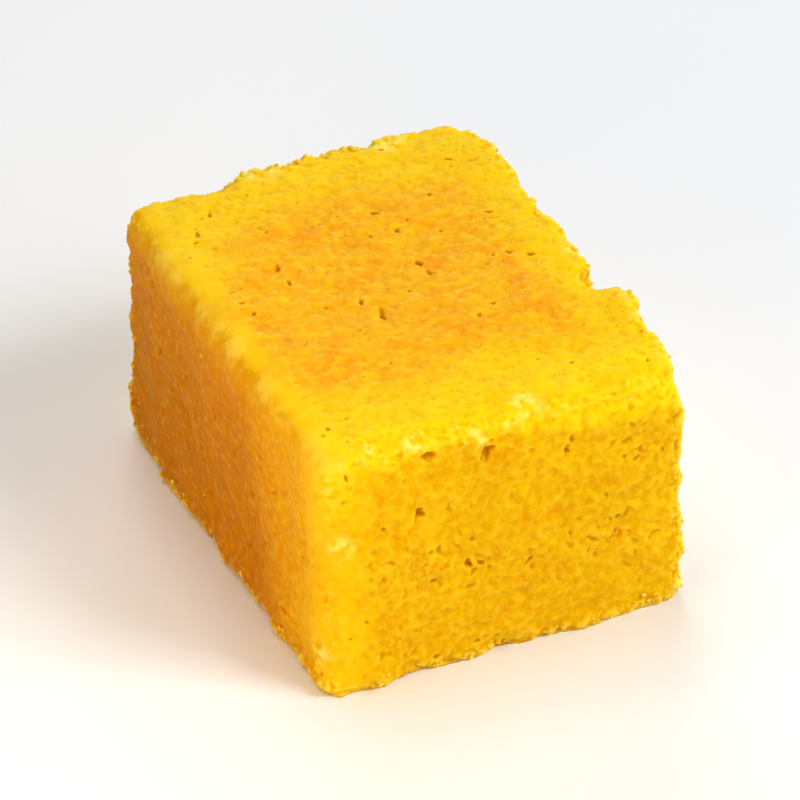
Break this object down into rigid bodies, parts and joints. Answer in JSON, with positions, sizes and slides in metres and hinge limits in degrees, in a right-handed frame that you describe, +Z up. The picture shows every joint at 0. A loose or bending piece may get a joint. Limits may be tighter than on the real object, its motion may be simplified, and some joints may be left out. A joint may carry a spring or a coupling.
{
  "type": "mysore pak",
  "caption": "Cut block of mysore pak, a golden-yellow gram flour and ghee fudge, with a browned top, crumbly edges and fine pores.",
  "frame": {"origin": "under the middle of the block's box, on the surface that it rests on", "axes": "+Z up, -Y towards the narrower front face, +Y along the block's length, X across its width"},
  "size_m": [0.037, 0.0484, 0.0262],
  "materials": {
    "fudge": "dull granular crumb with a slight ghee gloss, browned on the top"
  },
  "bodies": {
    "root": {"mysore_pak": "fudge"}
  },
  "joints": []
}
